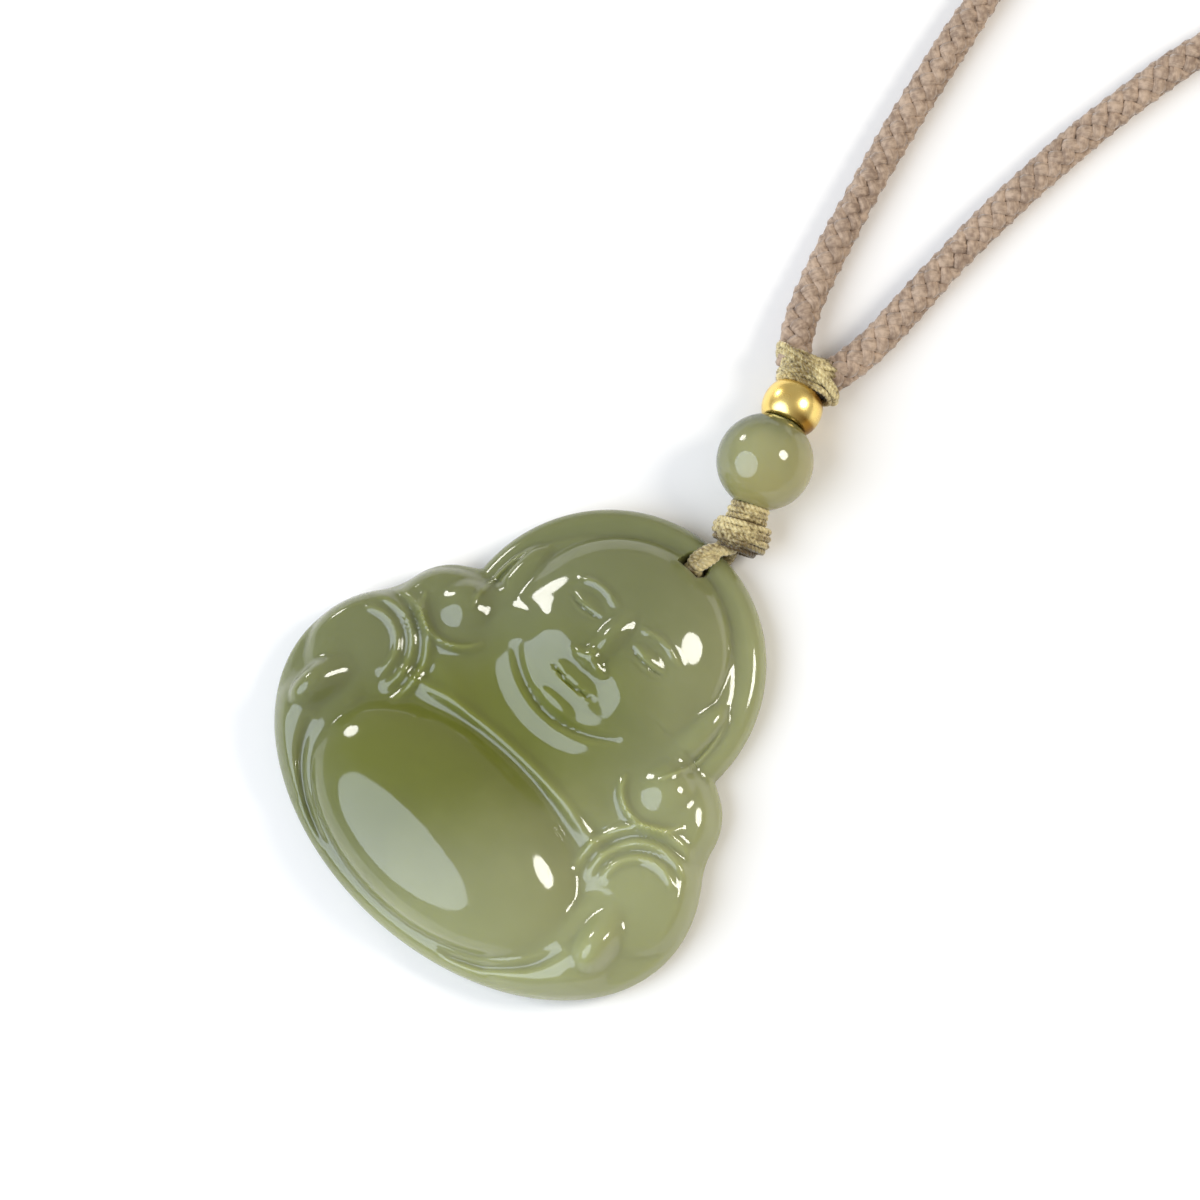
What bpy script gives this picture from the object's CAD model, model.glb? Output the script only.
# %% [markdown]
# # A carved jade pendant on a braided neck cord
# The pendant lies on its flat back on a pale table, with its bead, gold spacer, wound knots and neck cord.
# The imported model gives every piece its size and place. This script dresses it: the carving, the wound
# thread and the braid are made as meshes, and each gets the finish of the real material.
#
# The frame is loaded first, because every later step asks it where a piece lies.

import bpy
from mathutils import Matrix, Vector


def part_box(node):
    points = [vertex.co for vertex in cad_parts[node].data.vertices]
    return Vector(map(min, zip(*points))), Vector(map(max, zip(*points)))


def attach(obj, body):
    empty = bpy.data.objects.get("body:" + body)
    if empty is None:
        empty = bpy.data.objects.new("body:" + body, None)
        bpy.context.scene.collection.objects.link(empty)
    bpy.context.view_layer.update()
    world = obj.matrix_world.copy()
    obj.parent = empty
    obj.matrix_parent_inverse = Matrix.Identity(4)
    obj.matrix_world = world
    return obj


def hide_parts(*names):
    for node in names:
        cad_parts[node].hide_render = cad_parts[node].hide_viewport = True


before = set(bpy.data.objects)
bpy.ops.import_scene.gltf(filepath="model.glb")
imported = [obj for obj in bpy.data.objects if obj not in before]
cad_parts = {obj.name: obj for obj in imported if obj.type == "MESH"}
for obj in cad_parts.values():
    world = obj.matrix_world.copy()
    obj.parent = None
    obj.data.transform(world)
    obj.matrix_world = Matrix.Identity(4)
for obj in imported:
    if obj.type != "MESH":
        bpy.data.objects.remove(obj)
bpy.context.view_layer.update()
print("pieces in the frame:", sorted(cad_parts))

# %% Tools and units
import math

import bpy
import numpy as np
from mathutils import Matrix, Vector

mm = 0.001
scene = bpy.context.scene


def placed(name, data):
    """An object of some data, linked into the scene."""
    made = bpy.data.objects.new(name, data)
    scene.collection.objects.link(made)
    return made


# %% [markdown]
# ## Camera
# The picture looks down on the table, a little from the pendant's right, and the pendant is turned so that
# its head points to the upper right. A camera can be aimed by angles, but three directions say it more
# plainly: where the camera stands as seen from the stone, and what is right and up in the picture. A long
# lens far away keeps the outline free of the swelling that a near one gives.

# %% Camera
towards_camera = Vector((0.233, -0.090, 0.968)).normalized()
picture_right = Vector((0.71974, 0.68556, -0.10947)).normalized()
picture_up = towards_camera.cross(picture_right)
picture_width = 85.714 * mm
aim_right = 3.857 * mm
aim_up = 9.786 * mm
aim_height = 2 * mm
camera_distance = 420 * mm
sensor_width = 36.0

picture_middle = picture_right * aim_right + picture_up * aim_up + towards_camera * aim_height
camera_data = bpy.data.cameras.new("camera")
camera_data.sensor_width = sensor_width
camera_data.lens = sensor_width * camera_distance / picture_width
camera = placed("camera", camera_data)
turn = Matrix((picture_right, picture_up, towards_camera)).transposed().to_4x4()
camera.matrix_world = Matrix.Translation(picture_middle + towards_camera * camera_distance) @ turn
scene.camera = camera
print("lens %.0f mm, tilt from straight down %.1f degrees"
      % (camera_data.lens, math.degrees(math.acos(towards_camera.z))))

# %% [markdown]
# ## Shader maths
# A finish that varies over a surface is a small sum: so much of one colour where the stone is thick, so
# much of another where it is thin. Blender says a sum with nodes, and a dozen Math nodes made by hand hide
# what they work out. The class below wraps a socket, so that plain Python arithmetic adds those nodes.
# Every other node comes from one method of the finish.


# %% A number that varies over a surface
class Number:
    """A socket that holds a number: arithmetic on it adds Math nodes to its finish."""

    def __init__(self, finish, socket):
        self.finish = finish
        self.socket = socket

    def maths(self, operation, first, second):
        node = self.finish.node("Math", {"operation": operation}, {0: first, 1: second})
        return Number(self.finish, node.outputs[0])

    def __add__(self, other):
        return self.maths("ADD", self, other)

    def __radd__(self, other):
        return self.maths("ADD", other, self)

    def __sub__(self, other):
        return self.maths("SUBTRACT", self, other)

    def __rsub__(self, other):
        return self.maths("SUBTRACT", other, self)

    def __mul__(self, other):
        return self.maths("MULTIPLY", self, other)

    def __truediv__(self, other):
        return self.maths("DIVIDE", self, other)

    def between(self, low, high):
        """Nought at low, one at high, smooth between them and flat outside."""
        node = self.finish.node("MapRange", {"interpolation_type": "SMOOTHSTEP"},
                                {"Value": self, "From Min": low, "From Max": high})
        return Number(self.finish, node.outputs[0])


# %% A finish: one material in the making
# Places of the sockets of a Mix node that mixes colours
MIX_FACTOR, MIX_FIRST, MIX_SECOND, MIX_RESULT = 0, 6, 7, 2


class Finish:
    """One procedural material, built up around its Principled shader."""

    def __init__(self, name, **constants):
        self.material = bpy.data.materials.new(name)
        self.material.use_nodes = True
        self.tree = self.material.node_tree
        self.shader = self.tree.nodes["Principled BSDF"]
        for socket, value in constants.items():
            self.feed(socket.replace("_", " "), value)

    def fill(self, target, value):
        """Gives a socket a value, or links a varying one to it."""
        if isinstance(value, Number):
            value = value.socket
        if isinstance(value, bpy.types.NodeSocket):
            self.tree.links.new(value, target)
        else:
            target.default_value = value

    def feed(self, socket, value):
        """Fills one of the shader's sockets."""
        self.fill(self.shader.inputs[socket], value)

    def node(self, kind, settings, sockets):
        """Adds a node: its settings first, then the values or links of its sockets."""
        made = self.tree.nodes.new("ShaderNode" + kind)
        for setting, value in settings.items():
            setattr(made, setting, value)
        for socket, value in sockets.items():
            self.fill(made.inputs[socket], value)
        return made

    def mixed(self, first, second, share):
        """A colour between two colours."""
        mix = self.node("Mix", {"data_type": "RGBA"},
                        {MIX_FACTOR: share, MIX_FIRST: first, MIX_SECOND: second})
        return mix.outputs[MIX_RESULT]

    def noise(self, place, size, detail=2.0):
        """Soft cloudy noise from nought to one, with spots of a size in metres."""
        node = self.node("TexNoise", {}, {"Vector": place, "Scale": 1 / size, "Detail": detail})
        return Number(self, node.outputs["Fac"])

    def place(self):
        """Where a point of the surface lies, in metres."""
        return self.node("TexCoord", {}, {}).outputs["Object"]

    def parts(self, vector):
        """The three numbers of a vector."""
        split = self.node("SeparateXYZ", {}, {"Vector": vector})
        return [Number(self, socket) for socket in split.outputs]

    def stretched(self, vector, stretch):
        """A vector times another, part by part."""
        node = self.node("VectorMath", {"operation": "MULTIPLY"}, {0: vector, 1: stretch})
        return node.outputs[0]

    def bumped(self, height, depth, strength=1.0):
        """Feeds the shader's normal from a height of a depth in metres."""
        bump = self.node("Bump", {}, {"Height": height, "Distance": depth, "Strength": strength})
        self.feed("Normal", bump.outputs["Normal"])


# %% [markdown]
# ## Table and light
# The stone is shown on a plain pale table. What makes it read as polished is what it mirrors: a large round
# diffuser low on the pendant's foot side, which draws the long pale band on the belly and the round patch
# on the bead, and two small lamps, which give the sparks. The places of those lights were worked back from
# where a round surface mirrors them.
#
# A lamp is set by how bright it looks, not by its watts, because that is what a mirroring surface shows.

# %% Table
table_half = 1.5
table_drop = 0.02 * mm
table_roughness = 0.7
grain_size = 40 * mm
paper_shade = (0.845, 0.820, 0.790, 1)
paper_white = (0.865, 0.840, 0.810, 1)

table_mesh = bpy.data.meshes.new("table")
table_corners = [(x * table_half, y * table_half, -table_drop)
                 for x, y in ((-1, -1), (1, -1), (1, 1), (-1, 1))]
table_mesh.from_pydata(table_corners, [], [(0, 1, 2, 3)])
table = placed("table", table_mesh)
paper = Finish("pale table", Roughness=table_roughness)
grain = paper.noise(paper.place(), grain_size)
paper.feed("Base Color", paper.mixed(paper_shade, paper_white, grain))
table_mesh.materials.append(paper.material)

# %% Lamps and room light
lamp_distance = 0.4
room_colour = (1.0, 0.97, 0.93, 1)
room_strength = 0.45

LAMPS = (
    # name             towards               width  brightness  colour
    ("foot diffuser", (-0.31, -0.61, 0.72),  0.46,   3.9,       (0.76, 0.86, 1.00)),
    ("head lamp",     (0.47, 0.60, 0.64),    0.14,  17.0,       (1.00, 0.97, 0.90)),
    ("side lamp",     (-0.93, 0.12, 0.34),   0.09,  14.0,       (1.00, 0.98, 0.95)),
)
for name, towards, width, brightness, colour in LAMPS:
    direction = Vector(towards).normalized()
    light = bpy.data.lights.new(name, "AREA")
    light.shape = "DISK"
    light.size = width
    light.energy = brightness * math.pi * math.pi * (width / 2) ** 2
    light.color = colour
    lamp = placed(name, light)
    lamp.location = direction * lamp_distance
    lamp.rotation_euler = direction.to_track_quat("Z", "Y").to_euler()
    lamp.visible_camera = False

scene.view_settings.view_transform = "Standard"
world = bpy.data.worlds.new("room")
scene.world = world
world.use_nodes = True
room = world.node_tree.nodes["Background"]
room.inputs["Color"].default_value = room_colour
room.inputs["Strength"].default_value = room_strength
print("lamps:", [row[0] for row in LAMPS])

# %% [markdown]
# ## Meshes from arrays
# Every piece here is made of many points that follow a rule, so numpy works the points out and one helper
# turns them into a piece. A thread also keeps three numbers at each point: how far along it lies, how far
# across, and how high it stands out of its neighbours. Its finish reads them, so that fibres run along the
# thread however it bends, and the grooves are darker than what stands out.

# %% A piece from points and faces


def piece(name, points, faces, finish):
    """A smooth mesh object in the frame, riding on the one body."""
    mesh = bpy.data.meshes.new(name)
    mesh.from_pydata(np.asarray(points).tolist(), [], faces)
    mesh.shade_smooth()
    mesh.materials.append(finish.material)
    made = placed(name, mesh)
    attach(made, "root")
    return made


def unit(vectors):
    """Vectors of length one."""
    return vectors / np.linalg.norm(vectors, axis=-1, keepdims=True)


def quads(*corners):
    """Faces with four corners, from four arrays of point numbers."""
    return np.stack(corners, -1).reshape(-1, 4).tolist()


def around(first, second, angle):
    """Directions that turn by angles from a first one towards a second."""
    return first * np.cos(angle)[:, None] + second * np.sin(angle)[:, None]


def travel(points):
    """How far along a line each of its points lies."""
    return np.cumsum(np.linalg.norm(np.diff(points, axis=0, prepend=points[:1]), axis=1))


def carried(points, outward):
    """Directions at each point of a line: outward made square to it, and the way across."""
    ahead = unit(np.gradient(points, axis=0))
    outward = unit(outward - ahead * np.sum(outward * ahead, axis=1, keepdims=True))
    return outward, np.cross(ahead, outward)


def swept(points, outward, half_wide, half_high, sides, lift=0.0, start=0.0):
    """An oval section along a line, closed at both ends: its points, its faces and its thread numbers.

    Start shifts the pattern of the fibres along it, so that no two threads look alike.
    """
    outward, across = carried(points, outward)
    angle = np.linspace(0, 2 * np.pi, sides, endpoint=False)
    wide = np.broadcast_to(half_wide, len(points))[:, None, None]
    high = np.broadcast_to(half_high, len(points))[:, None, None]
    ring = outward[:, None] * np.cos(angle)[:, None] * high + across[:, None] * np.sin(angle)[:, None] * wide
    thread = np.empty((len(points), sides, 3))
    thread[..., 0] = (start + travel(points))[:, None]
    thread[..., 1] = np.sin(angle) * wide[..., 0]
    thread[..., 2] = np.broadcast_to(lift, len(points))[:, None]
    index = np.arange(len(points) * sides).reshape(len(points), sides)
    after = np.roll(index, -1, axis=1)
    faces = quads(index[:-1], after[:-1], after[1:], index[1:])
    faces.append(index[0][::-1].tolist())
    faces.append(index[-1].tolist())
    return (points[:, None] + ring).reshape(-1, 3), faces, thread.reshape(-1, 3)


def thread_piece(name, parts, finish):
    """Several swept parts as one piece, which keeps their thread numbers."""
    faces = []
    count = 0
    for part_points, part_faces, _ in parts:
        faces += [[corner + count for corner in face] for face in part_faces]
        count += len(part_points)
    made = piece(name, np.concatenate([part[0] for part in parts]), faces, finish)
    stored = made.data.attributes.new("thread", "FLOAT_VECTOR", "POINT")
    stored.data.foreach_set("vector", np.concatenate([part[2] for part in parts]).ravel())
    return made


def triangles(made):
    """How many triangles a piece has."""
    return sum(len(polygon.vertices) - 2 for polygon in made.data.polygons)


# %% [markdown]
# ## The carved stone
# The real figure is ground out of one slab: the carver sinks the background and leaves the belly, the head,
# the sleeves and the robe standing, rounded by polishing. The frame's solid is made by a rule, and the same
# rule at a finer grid keeps the finished piece on that solid.
#
# The rule is a height for each point of the front. Large forms are domes, joined where they meet by a small
# fillet, and two broad swells lie on them. Then the whole grid is worn down a little, because long
# polishing leaves no sharp corner between one form and the next. The face and the folds come after that
# wear, so they stay crisp: folds are lines along arcs of ellipses, raised or cut in. The rim is rounded
# over last, so that it is the same all round.

# %% Sizes of the stone
stone_low, stone_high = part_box("jade_pendant")
half_height = (stone_high.y - stone_low.y) / 2
half_width = 35.9 * mm / 2
head_radius = 23.2 * mm / 2
body_height = 24.2 * mm
shoulder_radius = 4.65 * mm
shoulder_reach = 20.6 * mm / 2
shoulder_height = 19.0 * mm
notch_blend = 1.2 * mm
pendant_thickness = 7.5 * mm
rim_height = 2.9 * mm
rim_round = 1.3 * mm
edge_height = 1.5 * mm
back_round = 1.5 * mm
face_half_width = 16.0 * mm / 2
face_half_height = 15.4 * mm / 2
face_below_top = 9.8 * mm
face_base_share = 0.40
face_rise_share = 0.49
face_blend_share = 0.16
face_softness = 1.25
polish_passes = 12

body_y = body_height / 2 - half_height
head_y = half_height - head_radius
face_y = half_height - face_below_top
shoulder_y = shoulder_height - half_height
print("stone %.1f by %.1f mm" % (half_width * 2 / mm, half_height * 2 / mm))

# %% The carving's forms, swells, folds and plain face
# Places and reaches are shares of the stone's half width and half height, or of the face's in the last table.
# Bases, rises, blends, spreads and heights are shares of its thickness, and leans are degrees.
FORMS = (
    # name       x      y       across along  lean  base  rise  blend
    ("body",     0.000, -0.330, 0.935, 0.615,   0,  0.35, 0.21, 0.05),
    ("head",     0.000,  0.360, 0.550, 0.485,   0,  0.38, 0.13, 0.05),
    ("chest",    0.000, -0.010, 0.620, 0.187,   0,  0.48, 0.12, 0.14),
    ("belly",    0.000, -0.556, 0.635, 0.374,   0,  0.43, 0.54, 0.18),
    ("shoulder", 0.550,  0.050, 0.275, 0.235,   0,  0.36, 0.24, 0.05),
    ("sleeve",   0.745, -0.225, 0.240, 0.260,   0,  0.38, 0.22, 0.05),
    ("knee",     0.640, -0.640, 0.260, 0.215, -30,  0.36, 0.17, 0.08),
    ("hand",     0.765, -0.450, 0.075, 0.150, -16,  0.50, 0.16, 0.08),
    ("robe",     0.640, -0.490, 0.070, 0.240,  14,  0.44, 0.14, 0.05),
    ("jowl",     0.000,  0.290, 0.490, 0.358,   0,  0.38, 0.37, 0.12),
    ("ear",      0.470,  0.350, 0.068, 0.200,   5,  0.42, 0.13, 0.05),
    ("lobe",     0.552,  0.145, 0.120, 0.120,   0,  0.42, 0.24, 0.05),
)
SWELLS = (
    # name        x      y       across along  lean  height
    ("breast",    0.345, -0.150, 0.200, 0.120,  -8,  0.070),
    ("robe side", 0.785, -0.530, 0.150, 0.290,  20,  0.115),
)
FOLDS = (
    # name          x      y       across along  from  to   spread height
    ("chin line",   0.000,  0.440, 0.400, 0.385, 222, 318,  0.045, -0.045),
    ("chest line",  0.000, -0.530, 0.900, 0.386,  50, 130,  0.100,  0.060),
    ("lobe rim",    0.552,  0.135, 0.165, 0.160, 195, 345,  0.040,  0.060),
    ("outer cuff",  0.760, -0.235, 0.268, 0.262,  75, 205,  0.050,  0.060),
    ("middle cuff", 0.760, -0.238, 0.208, 0.205,  60, 205,  0.050,  0.060),
    ("inner cuff",  0.760, -0.242, 0.150, 0.150,  50, 200,  0.045,  0.045),
    ("hem groove",  0.000, -0.545, 0.695, 0.425, 296, 354,  0.045, -0.050),
    ("ear rim",     0.480,  0.350, 0.080, 0.200, 290, 430,  0.035,  0.035),
    ("lid line",    0.165,  0.486, 0.090, 0.040, 205, 335,  0.026, -0.030),
    ("brow line",   0.165,  0.500, 0.110, 0.062,  25, 150,  0.045,  0.030),
    ("mouth line",  0.000,  0.290, 0.190, 0.098, 232, 308,  0.024, -0.040),
)
FACE = (
    # name      x     y      across along   height
    ("socket",  0.37,  0.03, 0.30,  0.170, -0.030),
    ("eyelid",  0.37,  0.03, 0.23,  0.120,  0.060),
    ("bridge",  0.00, -0.06, 0.15,  0.400,  0.075),
    ("tip",     0.00, -0.33, 0.19,  0.130,  0.065),
    ("nostril", 0.13, -0.36, 0.11,  0.090,  0.035),
    ("cheek",   0.46, -0.34, 0.36,  0.300,  0.045),
    ("lips",    0.00, -0.60, 0.42,  0.170,  0.040),
    ("chin",    0.00, -0.84, 0.28,  0.130,  0.045),
)
print(len(FORMS), "forms,", len(SWELLS), "swells and", len(FOLDS), "folds")

# %% Heights of the carving


def soft_max(a, b, blend):
    """The larger of two heights, with the corner between them filled over a small blend."""
    overlap = np.maximum(blend - np.abs(a - b), 0) / blend
    return np.maximum(a, b) + overlap * overlap * blend / 4


def half_chord(y):
    """Half width of the outline at a height: the widest of head, shoulder and body."""
    head = np.sqrt(np.maximum(head_radius ** 2 - (y - head_y) ** 2, 0))
    body = half_width * np.sqrt(np.maximum(1 - ((y - body_y) / (body_height / 2)) ** 2, 0))
    rise = shoulder_radius ** 2 - (y - shoulder_y) ** 2
    shoulder = np.where(rise > 0, shoulder_reach + np.sqrt(np.maximum(rise, 0)), 0)
    return soft_max(soft_max(head, shoulder, notch_blend), body, notch_blend)


def dome(x, y, middle, reach, lean=0):
    """One at the middle of a leaning ellipse, nought at its edge and outside it."""
    lean = math.radians(lean)
    dx = x - middle[0]
    dy = y - middle[1]
    u = (dx * math.cos(lean) - dy * math.sin(lean)) / reach[0]
    v = (dx * math.sin(lean) + dy * math.cos(lean)) / reach[1]
    return np.maximum(1 - u * u - v * v, 0)


def fold(x, y, middle, reach, first, last, spread):
    """One on an arc of an ellipse, falling off to its sides and towards its two ends."""
    u = (x - middle[0]) / reach[0]
    v = (y - middle[1]) / reach[1]
    angle = np.degrees(np.arctan2(v, u)) % 360
    share = np.abs((angle - (first + last) / 2 + 180) % 360 - 180) / ((last - first) / 2)
    away = (np.hypot(u, v) - 1) * (reach[0] + reach[1]) / 2
    return np.exp(-(away / spread) ** 2) * (1 - np.minimum(share, 1) ** 4)


def risen(z, fill, base, rise, blend):
    """Heights with one more dome joined to them."""
    form = pendant_thickness * (base + rise * np.sqrt(fill))
    return np.where(fill > 0, soft_max(z, form, pendant_thickness * blend), z)


stone_half = np.array((half_width, half_height))
face_half = np.array((face_half_width, face_half_height))
face_middle = np.array((0, face_y))


def standing_forms(x, y):
    """Height of the large forms, before they are polished."""
    side = np.abs(x)
    z = np.full_like(x, rim_height)
    for _, fx, fy, across, along, lean, base, rise, blend in FORMS:
        fill = dome(side, y, (fx, fy) * stone_half, (across, along) * stone_half, lean)
        z = risen(z, fill, base, rise, blend)
    for _, fx, fy, across, along, lean, height in SWELLS:
        swell = dome(side, y, (fx, fy) * stone_half, (across, along) * stone_half, lean)
        z = z + pendant_thickness * height * swell * swell
    fill = dome(x, y, face_middle, face_half) ** face_softness
    return risen(z, fill, face_base_share, face_rise_share, face_blend_share)


def polished(z):
    """A grid of heights with its corners worn round: each pass takes the mean of neighbours."""
    for _ in range(polish_passes):
        worn = np.pad(z, 1, constant_values=edge_height)
        z = (worn[1:-1, :-2] + worn[1:-1, 2:] + worn[:-2, 1:-1] + worn[2:, 1:-1]) / 8 + z / 2
    return z


def relief(x, y, inset):
    """Height of the carved front at a grid of points that lie inset from the outline."""
    side = np.abs(x)
    z = polished(standing_forms(x, y))
    for _, fx, fy, across, along, height in FACE:
        bump = dome(side, y, face_middle + (fx, fy) * face_half, (across, along) * face_half)
        z = z + pendant_thickness * height * bump * bump
    for _, fx, fy, across, along, first, last, spread, height in FOLDS:
        line = fold(side, y, (fx, fy) * stone_half, (across, along) * stone_half, first, last,
                    spread * pendant_thickness)
        z = z + pendant_thickness * height * line
    t = np.minimum(inset / rim_round, 1)
    return edge_height + (z - edge_height) * np.sqrt(np.maximum(1 - (1 - t) ** 2, 0))


# %% The outline and the distance to it
stone_rows = 330
stone_columns = 128
crowding_share = 0.6

heights = -half_height * np.cos(np.pi * np.arange(stone_rows + 1) / stone_rows)
right_edge = np.stack([half_chord(heights[1:-1]), heights[1:-1]], 1)
left_edge = right_edge[::-1] * (-1, 1)
chain = np.concatenate([[(0, heights[0])], right_edge, [(0, heights[-1])], left_edge])


def to_outline(x, y):
    """Shortest distance from each point to the outline's chain of points."""
    best = np.full(x.shape, half_height)
    for (ax, ay), (bx, by) in zip(chain, np.roll(chain, -1, axis=0)):
        dx = bx - ax
        dy = by - ay
        t = np.clip(((x - ax) * dx + (y - ay) * dy) / (dx * dx + dy * dy), 0, 1)
        best = np.minimum(best, np.hypot(x - ax - t * dx, y - ay - t * dy))
    return best


# %% The stone's front, edge and back as one closed mesh
t = np.arange(1 - stone_columns, stone_columns) / stone_columns
shares = (1 - crowding_share) * t + crowding_share * np.sin(t * np.pi / 2)
inner_x = shares[None, :] * half_chord(heights[1:-1])[:, None]
inner_y = np.repeat(heights[1:-1, None], len(shares), 1)
inner_z = relief(inner_x, inner_y, to_outline(inner_x, inner_y))

stone_points = [np.column_stack([chain, np.full(len(chain), edge_height)]),
                np.stack([inner_x, inner_y, inner_z], -1).reshape(-1, 3)]
inner_index = len(chain) + np.arange(inner_x.size).reshape(inner_x.shape)
right_index = np.arange(1, stone_rows)
left_index = len(chain) - right_index
grid = np.concatenate([left_index[:, None], inner_index, right_index[:, None]], 1)
stone_faces = quads(grid[:-1, :-1], grid[:-1, 1:], grid[1:, 1:], grid[1:, :-1])
foot, crown = 0, stone_rows
stone_faces += [[foot, int(b), int(a)] for a, b in zip(grid[0], grid[0, 1:])]
stone_faces += [[crown, int(a), int(b)] for a, b in zip(grid[-1], grid[-1, 1:])]

back_middle = np.array([0, body_y / 2])
back_turns = np.radians((18, 36, 54, 72, 90))
outer_ring = np.arange(len(chain))
count = len(chain) + inner_x.size
for tilt in back_turns:
    inset = back_round * (1 - math.cos(tilt))
    away = chain - back_middle
    drawn = back_middle + away * (1 - inset / np.linalg.norm(away, axis=1, keepdims=True))
    stone_points.append(np.column_stack([drawn, np.full(len(chain), edge_height * (1 - math.sin(tilt)))]))
    inner_ring = count + np.arange(len(chain))
    stone_faces += quads(outer_ring, inner_ring, np.roll(inner_ring, -1), np.roll(outer_ring, -1))
    outer_ring = inner_ring
    count += len(chain)
stone_faces.append(outer_ring[::-1].tolist())
stone_points = np.concatenate(stone_points)
print("stone: %d points, highest %.2f mm" % (len(stone_points), stone_points[:, 2].max() / mm))

# %% [markdown]
# ## Polished jade
# Jade of this kind is translucent: light goes in, is scattered and comes out a few millimetres away.
# Subsurface scattering does that for any light and any view. The base colour says how the stone itself
# changes: deep olive about its thick middle, greyer where it thins towards the rim, and a pale honey tone
# that grows towards one side, with faint clouds in all of it. A colour that copied one picture's shading
# would look painted from the side.
#
# Where the honey tone grows is each stone's own, so that rule is a small function that the finish is given.
# The polish is a clean mirror with traces of the felt wheel: a very faint, broad unevenness.

# %% Jade finish
light_reach = 1.6 * mm
light_reach_by_colour = (1.0, 1.0, 0.55)
jade_ior = 1.56
cloud_size = 6 * mm
clouds_in_depth = 0.7
clouds_in_side = 8 * mm
full_depth = 0.9
long_way = (0.63, 0.77)
polish_roughness = 0.045
polish_unevenness = 0.05
polish_patch = 3 * mm
wheel_mark = 1.6 * mm
wheel_depth = 0.02 * mm


def jade_finish(name, deep, thin, pale, middle, reach, paleness, pale_from, pale_to):
    """Translucent polished stone: deep about its middle, thin towards the rim, paler to one side."""
    stone = Finish(name, Subsurface_Weight=1.0, Subsurface_Scale=light_reach,
                   Subsurface_Radius=light_reach_by_colour, IOR=jade_ior)
    place = stone.place()
    x, y, _ = stone.parts(place)
    clouds = stone.noise(place, cloud_size, detail=3.0) - 0.5
    dx = x - middle[0]
    dy = y - middle[1]
    across = (dx * long_way[1] - dy * long_way[0]) / reach[0]
    along = (dx * long_way[0] + dy * long_way[1]) / reach[1]
    depth = (1 - across * across - along * along + clouds * clouds_in_depth).between(0.0, full_depth)
    side = (paleness(x, y) + clouds * clouds_in_side).between(pale_from, pale_to)
    colour = stone.mixed(stone.mixed(thin, deep, depth), pale, side)
    stone.feed("Base Color", colour)
    stone.feed("Roughness", polish_roughness + stone.noise(place, polish_patch) * polish_unevenness)
    stone.bumped(stone.noise(place, wheel_mark, detail=1.0), wheel_depth, strength=0.5)
    return stone


# %% The pendant's jade
deep_olive = (0.138, 0.151, 0.024, 1)
grey_olive = (0.164, 0.175, 0.073, 1)
pale_honey = (0.298, 0.306, 0.146, 1)
neck_y = 2 * mm
corner_bend = 46 * mm


def towards_corner(x, y):
    """Grows to the right, and from the neck towards the foot and the crown."""
    off_neck = y - neck_y
    return x + off_neck * off_neck / corner_bend


pendant_jade = jade_finish(
    "pendant jade", deep_olive, grey_olive, pale_honey,
    middle=(-1.5 * mm, -3.5 * mm), reach=(9.8 * mm, 15.0 * mm),
    paleness=towards_corner, pale_from=-1 * mm, pale_to=15 * mm)

# %% [markdown]
# ## Hole and thread groove
# The thread goes through a hole near the top of the head, with lips that polishing has softened, and lies
# in a shallow groove in the back so that the stone still rests flat. Both are cut with a boolean from swept
# tools, the way the drill and the burr cut the real one.

# %% Drill and groove
hole_below_top = 2.0 * mm
hole_radius = 0.95 * mm
lip = 0.2 * mm
groove_half_width = 1.0 * mm
groove_depth = 1.05 * mm
sharp_angle = math.radians(40)
print("hole %.1f mm wide, groove %.2f mm deep" % (2 * hole_radius / mm, groove_depth / mm))

# %% The thread's way from the hole to the cord
lower_heading = math.radians(24.0)
upper_heading = math.radians(18.5)
lower_droop = math.radians(10.0)
upper_droop = math.radians(8.0)
bead_radius = 3.5 * mm
piece_gap = 0.08 * mm
neck_radius = 3.1 * mm / 2
wrap_pitch = 0.45 * mm
knot_wraps = 8
loop_off_knot_middle = 0.75 * mm

bead_low, bead_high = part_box("jade_bead")
bead_middle = np.array((bead_low + bead_high) / 2)
upward = np.array((0.0, 0.0, 1.0))
lower_side = np.array((math.cos(lower_heading), math.sin(lower_heading), 0))
upper_side = np.array((math.cos(upper_heading), math.sin(upper_heading), 0))
to_pendant = np.cross(lower_side, upward) * math.cos(lower_droop) - upward * math.sin(lower_droop)
to_cord = np.cross(upward, upper_side) * math.cos(upper_droop) - upward * math.sin(upper_droop)
seat_radius = bead_radius + piece_gap
knot_start = math.sqrt(seat_radius ** 2 - neck_radius ** 2)
knot_end = knot_start + knot_wraps * wrap_pitch
knot_face = bead_middle + to_pendant * knot_end - lower_side * loop_off_knot_middle
hole = np.array((0, half_height - hole_below_top, 0))
loop_way = (knot_face - hole) * (1, 1, 0)
loop_reach = np.linalg.norm(loop_way)
loop_way = loop_way / loop_reach
loop_side = np.cross(upward, loop_way)
print("knot %.2f mm from the hole" % (loop_reach / mm))

# %% Cutting tools
drill_heights = np.array((-1.0, 0.0, 0.1, 0.3, 1.0, 2.0, 2.6, 2.8, 2.9, 4.0)) * mm
drill_flare = np.array((1.0, 1.0, 0.55, 0.0, 0.0, 0.0, 0.0, 0.45, 1.0, 1.0)) * lip
drill_sides = 48
groove_points = 12
groove_sides = 32

drill_line = hole + drill_heights[:, None] * upward
drill_radii = hole_radius + drill_flare
drill = swept(drill_line, loop_way, drill_radii, drill_radii, drill_sides)
groove_line = hole + np.linspace(-0.1, 5.0, groove_points)[:, None] * mm * loop_way
groove = swept(groove_line, upward, groove_half_width, groove_depth, groove_sides)


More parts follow.
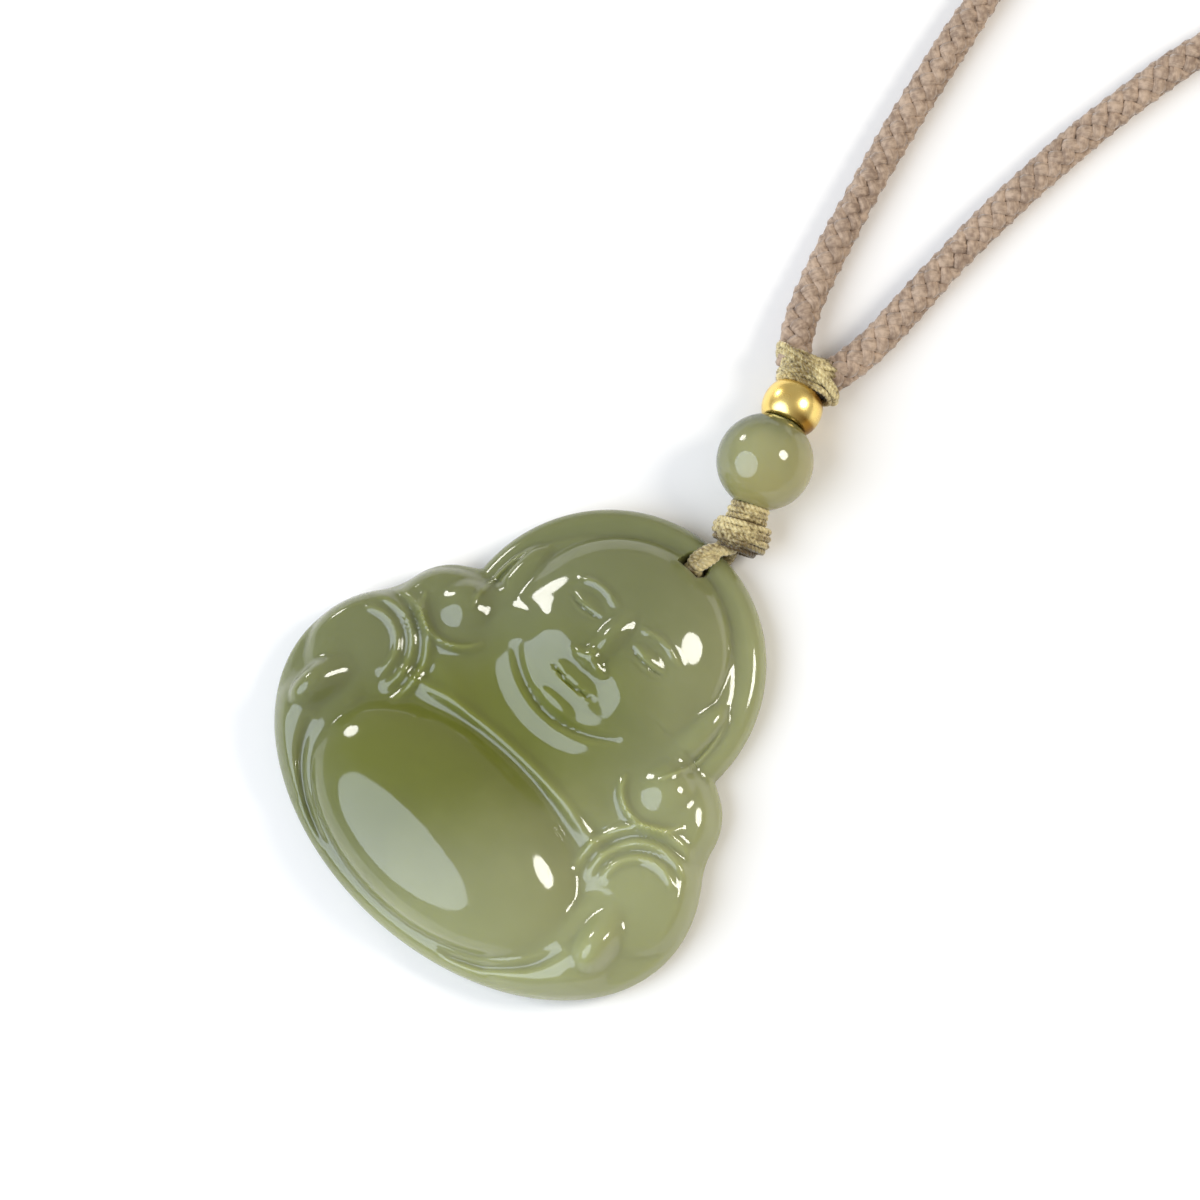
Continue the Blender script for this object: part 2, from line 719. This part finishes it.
def cut(made, tool, name):
    """Cuts a swept tool out of a piece, and keeps the result as the piece's mesh."""
    cutter = placed(name, bpy.data.meshes.new(name))
    cutter.data.from_pydata(tool[0].tolist(), [], tool[1])
    modifier = made.modifiers.new(name, "BOOLEAN")
    modifier.operation = "DIFFERENCE"
    modifier.solver = "MANIFOLD"
    modifier.object = cutter
    result = bpy.data.meshes.new_from_object(made.evaluated_get(bpy.context.evaluated_depsgraph_get()))
    made.modifiers.clear()
    made.data = result
    bpy.data.objects.remove(cutter)


# %% Cut the stone
carved_stone = piece("carved_stone", stone_points, stone_faces, pendant_jade)
cut(carved_stone, drill, "drill")
cut(carved_stone, groove, "burr")
carved_stone.data.set_sharp_from_angle(angle=sharp_angle)
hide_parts("jade_pendant")
print("carved stone:", triangles(carved_stone), "triangles")

# %% [markdown]
# ## Bead and spacer
# Both are turned: the bead is ground round and drilled, the spacer is a small gold ring with a full waist.
# A profile turned about the thread gives either of them, with lips where the drill came out. The frame's
# own solids are the same shapes, and these have more sides, because a polished surface shows every flat.
#
# The ring stays bright where it is rubbed, at its waist. Towards its two ends, on the flank that is rubbed
# least, the gold has dulled to brown.

# %% Turned pieces


def turned(profile, origin, axis, sides):
    """A closed profile of (radius, place along the axis) turned about an axis: points and faces."""
    radius, along = np.array(profile).T
    first = unit(np.cross(axis, upward))
    ways = around(first, np.cross(axis, first), np.linspace(0, 2 * np.pi, sides, endpoint=False))
    points = origin + axis * along[:, None, None] + ways * radius[:, None, None]
    index = np.arange(radius.size * sides).reshape(radius.size, sides)
    above = np.roll(index, -1, axis=0)
    faces = quads(index, np.roll(index, -1, axis=1), np.roll(above, -1, axis=1), above)
    return points.reshape(-1, 3), faces


# %% Bead
bore_radius = 0.65 * mm
bead_lip = 0.12 * mm
bead_rings = 72
bore_rings = 8
turned_sides = 96

lip_angle = math.asin((bore_radius + bead_lip) / bead_radius)
bead_profile = [(bead_radius * math.sin(angle), bead_radius * math.cos(angle))
                for angle in np.linspace(lip_angle, math.pi - lip_angle, bead_rings)]
bore_end = bead_profile[0][1] - bead_lip
bead_profile += [(bore_radius, along) for along in np.linspace(-bore_end, bore_end, bore_rings)]
bead_axis = unit(to_cord - to_pendant)

straw = (0.295, 0.292, 0.146, 1)
dark_rim = (0.092, 0.106, 0.040, 1)
warm_honey = (0.330, 0.290, 0.108, 1)
bead_slant = 0.25


def across_bead(x, y):
    """Grows to the right and towards the pendant."""
    return x - y * bead_slant


bead_jade = jade_finish(
    "bead jade", straw, dark_rim, warm_honey,
    middle=bead_middle + (1.0 * mm, -0.6 * mm, 0), reach=(4.2 * mm, 4.2 * mm),
    paleness=across_bead, pale_from=-9.7 * mm, pale_to=-2.2 * mm)
round_bead = piece("round_bead", *turned(bead_profile, bead_middle, bead_axis, turned_sides), bead_jade)
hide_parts("jade_bead")

# %% Gold spacer
spacer_length = 2.85 * mm
spacer_radius = 2.2 * mm
spacer_face = 1.6 * mm
spacer_rings = 40
waist_fullness = 1.3

spacer_start = math.sqrt(seat_radius ** 2 - spacer_face ** 2) - piece_gap / 2
spacer_middle = spacer_start + spacer_length / 2
spacer_profile = []
for angle in np.linspace(0, math.pi, spacer_rings):
    rise = math.sin(angle) ** waist_fullness
    spacer_profile.append((spacer_face + (spacer_radius - spacer_face) * rise,
                           spacer_middle + spacer_length / 2 * math.cos(angle)))
spacer_profile.append((bore_radius, math.sqrt(seat_radius ** 2 - bore_radius ** 2)))
spacer_profile.append((bore_radius, spacer_start + spacer_length - bead_lip))

# %% Gold finish
red_gold = (0.92, 0.62, 0.16, 1)
bright_gold = (1.0, 0.80, 0.30, 1)
brown_gold = (0.30, 0.15, 0.02, 1)
dull_from = 0.10 * mm
dull_to = 0.95 * mm
flank_reach = 1.7 * mm
tone_patch = 1.2 * mm
gold_roughness = 0.20
gold_unevenness = 0.12
rubbed_patch = 0.5 * mm
dent_size = 0.7 * mm
dent_depth = 0.02 * mm

gold = Finish("polished gold", Metallic=1.0, IOR=1.45)
gold_place = gold.place()
spacer_place = bead_middle + to_cord * spacer_middle
dx, dy, dz = [part - middle for part, middle in zip(gold.parts(gold_place), spacer_place)]
from_waist = dx * to_cord[0] + dy * to_cord[1] + dz * to_cord[2]
to_flank = dx * upper_side[0] + dy * upper_side[1]
near_ends = (from_waist * from_waist).between(dull_from ** 2, dull_to ** 2)
dulled = near_ends * to_flank.between(0.0, flank_reach)
polished_gold = gold.mixed(red_gold, bright_gold, gold.noise(gold_place, tone_patch))
gold.feed("Base Color", gold.mixed(polished_gold, brown_gold, dulled))
gold.feed("Roughness", gold_roughness + gold.noise(gold_place, rubbed_patch) * gold_unevenness)
gold.bumped(gold.noise(gold_place, dent_size), dent_depth, strength=0.5)
gold_ring = piece("gold_ring", *turned(spacer_profile, bead_middle, to_cord, turned_sides), gold)
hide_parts("gold_spacer")
print("bead", triangles(round_bead), "and spacer", triangles(gold_ring), "triangles")

# %% [markdown]
# ## Wound thread
# The knots are wound with a thin glossy thread of three twisted plies. Seen this close, the twist is what
# tells thread from moulded plastic, so each ply is a tube of its own that spirals round the thread's middle
# line. The finish adds the fibres inside a ply as bump, and patches of darker and paler thread, because wax
# and wear never colour it evenly. A thread that lies deeper than its neighbours is stored as sunk and is
# shown darker.

# %% Thread finish
sheen = 0.35
sheen_roughness = 0.4
fibre_share = 0.35
fleck_share = 0.75
fibre_stretch = (0.12, 1.0, 0.0)
patch_size = 1.8 * mm
tone_spread = 0.22
fleck_per_fibre = 4
fibre_gloss = 0.15
fibre_bump = 0.6
fleck_bump = 0.3
deepest_lift = -1.0
clear_lift = -0.1


def thread_finish(name, shade, light, groove, roughness, fibre, depth, patchy):
    """Fibres along a thread, in tones that change by flecks and patches, and darker in its grooves."""
    thread = Finish(name, Sheen_Weight=sheen, Sheen_Roughness=sheen_roughness, IOR=1.45)
    stored = thread.node("Attribute", {"attribute_name": "thread"}, {}).outputs["Vector"]
    lift = thread.parts(stored)[2]
    fibres = thread.noise(thread.stretched(stored, fibre_stretch), fibre, detail=3.0)
    flecks = thread.noise(thread.place(), fleck_per_fibre * fibre, detail=3.0)
    patches = thread.noise(thread.place(), patch_size)
    tone = fibres * fibre_share + flecks * fleck_share + patches * patchy
    middle = (fibre_share + fleck_share + patchy) / 2
    colour = thread.mixed(shade, light, tone.between(middle - tone_spread, middle + tone_spread))
    thread.feed("Base Color", thread.mixed(groove, colour, lift.between(deepest_lift, clear_lift)))
    thread.feed("Roughness", roughness + fibres * fibre_gloss)
    thread.bumped(fibres * fibre_bump + flecks * fleck_bump, depth)
    return thread


thread_brown = (0.170, 0.115, 0.036, 1)
thread_straw = (0.680, 0.560, 0.275, 1)
thread_shadow = (0.085, 0.052, 0.016, 1)
knot_thread = thread_finish(
    "knot thread", thread_brown, thread_straw, thread_shadow,
    roughness=0.22, fibre=0.06 * mm, depth=0.04 * mm, patchy=0.9)

# %% Plies of a thread
plies = 3
twist_pitch = 1.0 * mm
ply_share = 0.56
ply_sides = 6
ply_height = 0.5
ply_offset = 0.05


def plied(points, outward, radius, start=0.0, sunk=0.0):
    """The plies of a thread along a line, darker where it lies sunk."""
    outward, across = carried(points, outward)
    turns = 2 * np.pi * travel(points) / twist_pitch
    ply_radius = ply_share * radius
    parts = []
    for ply in range(plies):
        angle = turns + 2 * np.pi * ply / plies
        line = points + around(outward, across, angle) * (radius - ply_radius)
        lift = np.cos(angle) * ply_height - sunk
        parts.append(swept(line, outward, ply_radius, ply_radius, ply_sides, lift, start + ply * ply_offset))
    return parts


# %% [markdown]
# ## The lower knot
# Below the bead the thread is wound round its own strands: three slim turns next to the bead, then five
# fuller ones that close in at the end. A few turns cross the others at a slant, because a knot is pulled
# tight over its winding. The turns keep the radii of the frame's solid, and a plain core under them closes
# the gaps between them.

# %% Lower knot
NECK_WRAPS = (0.95, 1.00, 1.00)
KNOT_WRAPS = (0.93, 1.00, 1.00, 0.92, 0.68)
# How deep each turn lies, for the finish
SUNK = (0.0, 0.0, 0.10, 0.0, 0.0, 0.30, 1.00, 1.40)
knot_radius = 4.4 * mm / 2
thread_radius = 0.26 * mm
thread_step = 0.09 * mm
lap = 1.02
lapped_turn = 2 * np.pi * lap
wrap_slant = 0.09 * mm
wrap_wobble = 0.03 * mm
wrap_offset = 0.2

first_way = unit(np.cross(to_pendant, upward))
second_way = np.cross(to_pendant, first_way)


def round_knot(angle, radius, along):
    """Points about the string's lower line, and the directions that lead out to them."""
    outward = around(first_way, second_way, angle)
    middle = bead_middle + to_pendant * along[:, None]
    return middle + outward * radius[:, None], outward


wrap_radii = [share * neck_radius for share in NECK_WRAPS] + [share * knot_radius for share in KNOT_WRAPS]
wrap_places = np.arange(knot_wraps) + 0.5
knot_parts = []
# Each turn has a phase of its own in its slant and its wobble, so that no two look alike
for wrap, radius in enumerate(wrap_radii):
    samples = int(2 * math.pi * radius / thread_step)
    angle = np.linspace(0, lapped_turn, samples)
    slant = wrap_slant * math.sin(0.8 * wrap)
    along = knot_start + (wrap + 0.5) * wrap_pitch + slant * np.sin(angle + 0.4 * wrap)
    wobble = wrap_wobble * np.sin(3 * angle + 2 * wrap)
    points, outward = round_knot(angle, radius - thread_radius + wobble, along)
    knot_parts += plied(points, outward, thread_radius, wrap * wrap_offset, SUNK[wrap])

# %% Turns that cross the knot
crossing_points = 34
crossing_bed = 0.14
crossing_sunk = 1.5
core_rings = 24
core_sides = 24
core_lift = -0.8
core_inset = 0.9 * thread_radius

CROSSINGS = (
    # degrees, degrees, shares of the knot's length, and millimetres
    # start  sweep  from  to    lift
    (200,    70,    0.45, 0.92, 0.10),
    (222,    70,    0.45, 0.92, 0.10),
    (244,    66,    0.45, 0.90, 0.10),
    (330,   -64,    0.42, 0.90, 0.16),
    (352,   -64,    0.42, 0.90, 0.16),
    (60,     70,    0.45, 0.92, 0.10),
    (120,    70,    0.45, 0.92, 0.10),
)
for start, sweep, first, last, rise in CROSSINGS:
    share = np.linspace(0, 1, crossing_points)
    angle = np.radians(start + sweep * share)
    turn_number = (first + (last - first) * share) * knot_wraps
    along = knot_start + turn_number * wrap_pitch
    radius = np.interp(turn_number, wrap_places, wrap_radii) - thread_radius
    radius = radius + (rise * np.sin(np.pi * share) - crossing_bed) * mm
    points, outward = round_knot(angle, radius, along)
    knot_parts += plied(points, outward, thread_radius, 2 + start * 0.01, crossing_sunk * share * share)

core_share = np.linspace(0.03, 0.97, core_rings)
core_radius = np.interp(core_share * knot_wraps, wrap_places, wrap_radii) - core_inset
core_line = bead_middle + to_pendant * (knot_start + core_share * knot_wraps * wrap_pitch)[:, None]
knot_parts.append(swept(core_line, first_way, core_radius, core_radius, core_sides, core_lift))
wound_knot = thread_piece("wound_knot", knot_parts, knot_thread)
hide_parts("lower_knot")
print("lower knot:", triangles(wound_knot), "triangles")

# %% [markdown]
# ## The hanging loop
# Two threads leave the knot side by side, go down into the hole, under the rim in the groove of the back
# and up into the knot again. One line with a few bends carries both, and a spline rounds the bends, as a
# tight thread does.

# %% Hanging loop
loop_half_thickness = 0.4 * mm
loop_lift = 0.12 * mm
loop_lay = 5.2 * mm
loop_strand_off = 0.38 * mm
loop_strand_rise = 0.16 * mm
loop_strand_radius = 0.44 * mm
spline_steps = 24
over_rim = rim_height + loop_lift + loop_half_thickness
under_rim = loop_lift / 2 + loop_half_thickness
edge_reach = hole_below_top / loop_way[1]
LOOP_BENDS = (
    # reach from the hole, height
    (loop_reach + 0.6 * mm, knot_face[2] + 0.35 * mm),
    (0.55 * loop_reach, over_rim + loop_lift),
    (0.10 * loop_reach, over_rim + 0.08 * mm),
    (-0.30 * mm, over_rim - 0.30 * mm),
    (-0.15 * mm, 0.5 * (over_rim + under_rim)),
    (-0.05 * mm, under_rim + 0.35 * mm),
    (0.25 * mm, under_rim),
    (edge_reach, under_rim),
    (loop_reach + 0.6 * mm, knot_face[2] - 0.85 * mm),
)


def smooth_line(points, step, name):
    """Evenly spaced points on a smooth spline whose control points are given."""
    curve = bpy.data.curves.new(name, "CURVE")
    curve.dimensions = "3D"
    spline = curve.splines.new("NURBS")
    spline.points.add(len(points) - 1)
    for control, point in zip(spline.points, points):
        control.co = (*point, 1)
    spline.order_u = 3
    spline.use_endpoint_u = True
    spline.resolution_u = spline_steps
    holder = placed(name, curve)
    mesh = bpy.data.meshes.new_from_object(holder)
    line = np.array([vertex.co for vertex in mesh.vertices])
    bpy.data.objects.remove(holder)
    bpy.data.meshes.remove(mesh)
    travelled = travel(line)
    wanted = np.linspace(0, travelled[-1], max(int(travelled[-1] / step), 8))
    return np.stack([np.interp(wanted, travelled, line[:, axis]) for axis in range(3)], 1), travelled[-1]


loop_points = [hole + loop_way * out + upward * height for out, height in LOOP_BENDS]
loop_line, loop_length = smooth_line(loop_points, thread_step, "loop line")
loop_ahead = unit(np.gradient(loop_line, axis=0))
loop_out = np.cross(loop_ahead, loop_side)
loop_turn = np.linspace(0, 2 * np.pi * loop_length / loop_lay, len(loop_line))
beside = np.sign(np.cos(loop_turn)) * np.abs(np.cos(loop_turn)) ** 0.5
lay = beside[:, None] * loop_side * loop_strand_off + np.sin(loop_turn)[:, None] * loop_out * loop_strand_rise
loop_parts = []
for side in (-1, 1):
    loop_parts += plied(loop_line + side * lay, loop_out, loop_strand_radius, side * 0.3)
loop_thread = thread_piece("loop_thread", loop_parts, knot_thread)
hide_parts("hanging_loop")
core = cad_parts["thread_core"]
core.data.materials.clear()
core.data.materials.append(knot_thread.material)
print("hanging loop %.1f mm long, %d triangles" % (loop_length / mm, triangles(loop_thread)))

# %% [markdown]
# ## The upper binding
# Where the two legs of the neck cord meet, the same thread is wound round both in a flat band, and the last
# turns cross it at a slant each way, like the winding on a handle. Each turn is a loop round a flattened
# section. The slanted ones lean out of the band's plane.

# %% Upper binding
binding_start = spacer_start + spacer_length + piece_gap
binding_wraps = 5
binding_length = binding_wraps * wrap_pitch
binding_taper = 0.3 * mm
binding_lean = 0.7 * mm
binding_half_width = 4.6 * mm / 2
binding_half_thickness = 3.3 * mm / 2
binding_normal = np.cross(upper_side, to_cord)
turn_points = 150
squareness = 0.8


def band_middle(share):
    """Points on the band's own leaning middle line."""
    line = bead_middle + to_cord * (binding_start + share * binding_length)[:, None]
    return line + upper_side * (binding_lean * (0.5 - share))[:, None]


def band_loop(middle, slant, grow, lead):
    """A closed turn of thread about the band: it leans by slant from one side to the other."""
    angle = np.linspace(lead, lead + lapped_turn, turn_points)
    share = middle + slant * np.cos(angle)
    wide = binding_half_width - binding_taper / 2 * (1 - share) - thread_radius + grow
    thick = binding_half_thickness - thread_radius + grow
    across = wide * np.sign(np.cos(angle)) * np.abs(np.cos(angle)) ** squareness
    out = thick * np.sign(np.sin(angle)) * np.abs(np.sin(angle)) ** squareness
    outward = upper_side * (across / wide ** 2)[:, None] + binding_normal * (out / thick ** 2)[:, None]
    points = band_middle(share) + upper_side * across[:, None] + binding_normal * out[:, None]
    return points, unit(outward)


# %% Wind the band
band_stands_out = 0.35
band_core_rings = 12
band_core_sides = 32
band_core_inset = 1.1 * thread_radius
band_core_lift = -0.7

BAND_TURNS = (
    # shares of the band's length, millimetres, and radians
    # middle slant   grow   lead
    (0.07,   0.00,   0.00,  3.6),
    (0.28,   0.05,   0.00,  3.9),
    (0.46,  -0.05,   0.00,  4.2),
    (0.64,   0.03,   0.00,  3.8),
    (0.82,  -0.03,   0.00,  4.0),
    (0.96,   0.00,  -0.10,  4.1),
    (0.40,   0.34,   0.22,  3.7),
    (0.58,   0.36,   0.22,  3.9),
    (0.50,  -0.36,   0.40,  4.1),
    (0.68,  -0.38,   0.40,  4.3),
)
band_parts = []
for number, (middle, slant, grow, lead) in enumerate(BAND_TURNS):
    points, outward = band_loop(middle, slant, grow * mm, lead)
    band_parts += plied(points, outward, thread_radius, 4 + number * 0.3, -band_stands_out)
band_line = band_middle(np.linspace(0.0, 0.98, band_core_rings))
band_parts.append(swept(band_line, binding_normal, binding_half_width - band_core_inset,
                        binding_half_thickness - band_core_inset, band_core_sides, band_core_lift))
wound_band = thread_piece("wound_band", band_parts, knot_thread)
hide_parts("upper_binding")
print("upper binding:", triangles(wound_band), "triangles")

# %% [markdown]
# ## The braided neck cord
# The cord is a round braid of eight soft yarns: four spiral one way, four the other, and each goes over one
# and under the next. Where a yarn is on top it shows as a plump slanted grain, and the grains of the two
# directions lie in columns, like knitting. A tube with a braid as bump would lose the scalloped edge, so
# all eight yarns are swept along the cord's own line.
#
# The line is a spline that the route's points draw. Its two ends are seated in the binding, and the stretch
# that the picture doesn't show goes the plain way round.

# %% The cord's line
cord_radius = 1.3 * mm
# Its way from the bead's middle, in millimetres
CORD_ROUTE = (
    (-3.69, 6.74), (-4.95, 8.3), (-6.35, 10.9), (-7.6, 14.5), (-8.95, 19.4), (-10.2, 24.4), (-11.4, 30.1),
    (-12.6, 36.6), (-14.1, 45.1), (-17.6, 57.1), (-24.6, 74.1), (-37.1, 98.1), (-52.1, 128.1),
    (-62.6, 165.1), (-62.6, 206.1), (-47.6, 240.1), (-19.6, 261.1), (13.4, 263.1), (43.4, 246.1),
    (60.4, 215.1), (63.4, 178.1), (53.4, 139.1), (36.9, 105.1), (20.9, 79.1), (8.4, 59.1), (2.1, 45.6),
    (0.3, 36.1), (-0.4, 29.6), (-0.75, 24.1), (-0.8, 19.1), (-0.65, 14.7), (-0.55, 11.9), (-0.75, 9.3),
    (-1.11, 7.60),
)
# How far its first points stand above the rest, and its last ones the other way round
END_LIFTS = (1.15, 0.75, 0.30)
lifts = [*END_LIFTS, *[0.0] * (len(CORD_ROUTE) - 2 * len(END_LIFTS)), *reversed(END_LIFTS)]
cord_points = [(bead_middle[0] + x * mm, bead_middle[1] + y * mm, cord_radius + lift * mm)
               for (x, y), lift in zip(CORD_ROUTE, lifts)]
cord_step = 0.19 * mm
fine_stretch = 60 * mm
cord_line, cord_length = smooth_line(cord_points, cord_step, "cord line")
travelled = np.linspace(0, cord_length, len(cord_line))
near_an_end = np.minimum(travelled, cord_length - travelled) < fine_stretch
kept = near_an_end | (np.arange(len(travelled)) % 2 == 0)
cord_line = cord_line[kept]
travelled = travelled[kept]
print("neck cord %.1f mm long on its spline, %d points" % (cord_length / mm, len(cord_line)))

# %% Eight yarns over and under
yarns_each_way = 4
yarn_pitch = 5.6 * mm
yarn_half_wide = 0.50 * mm
yarn_half_high = 0.36 * mm
yarn_middle = 0.73 * mm
yarn_weave = 0.22 * mm
yarn_swell = 0.07 * mm
yarn_sides = 6
braid_core_radius = 0.90 * mm
braid_core_sides = 8
braid_core_lift = -0.8
# Angles by which the yarns stray, and how far along they do so
SWAYS = ((0.12, 3.1 * mm), (0.10, 1.3 * mm))

cord_ahead = unit(np.gradient(cord_line, axis=0))
cord_up = unit(upward - cord_ahead * cord_ahead[:, 2:])
cord_side = np.cross(cord_ahead, cord_up)
unevenness = sum(sway * np.sin(travelled / reach) for sway, reach in SWAYS)
yarn_parts = []
for way in (-1, 1):
    for yarn in range(yarns_each_way):
        angle = way * 2 * np.pi * travelled / yarn_pitch + 2 * np.pi * yarn / yarns_each_way
        over = way * np.cos(yarns_each_way * angle)
        angle = angle + way * unevenness
        outward = around(cord_up, cord_side, angle)
        line = cord_line + outward * (yarn_middle + yarn_weave * over)[:, None]
        yarn_parts.append(swept(line, outward, yarn_half_wide + yarn_swell * over, yarn_half_high, yarn_sides,
                                over, (yarn + 5 * (way + 1)) * 1.7))
yarn_parts.append(swept(cord_line[::2], cord_up[::2], braid_core_radius, braid_core_radius, braid_core_sides,
                        braid_core_lift))

yarn_shade = (0.220, 0.146, 0.098, 1)
yarn_light = (0.475, 0.345, 0.245, 1)
yarn_shadow = (0.140, 0.090, 0.058, 1)
cord_yarn = thread_finish(
    "cord yarn", yarn_shade, yarn_light, yarn_shadow,
    roughness=0.60, fibre=0.10 * mm, depth=0.07 * mm, patchy=0.4)
braid = thread_piece("braid", yarn_parts, cord_yarn)
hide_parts("neck_cord")
print("braid:", triangles(braid), "triangles")
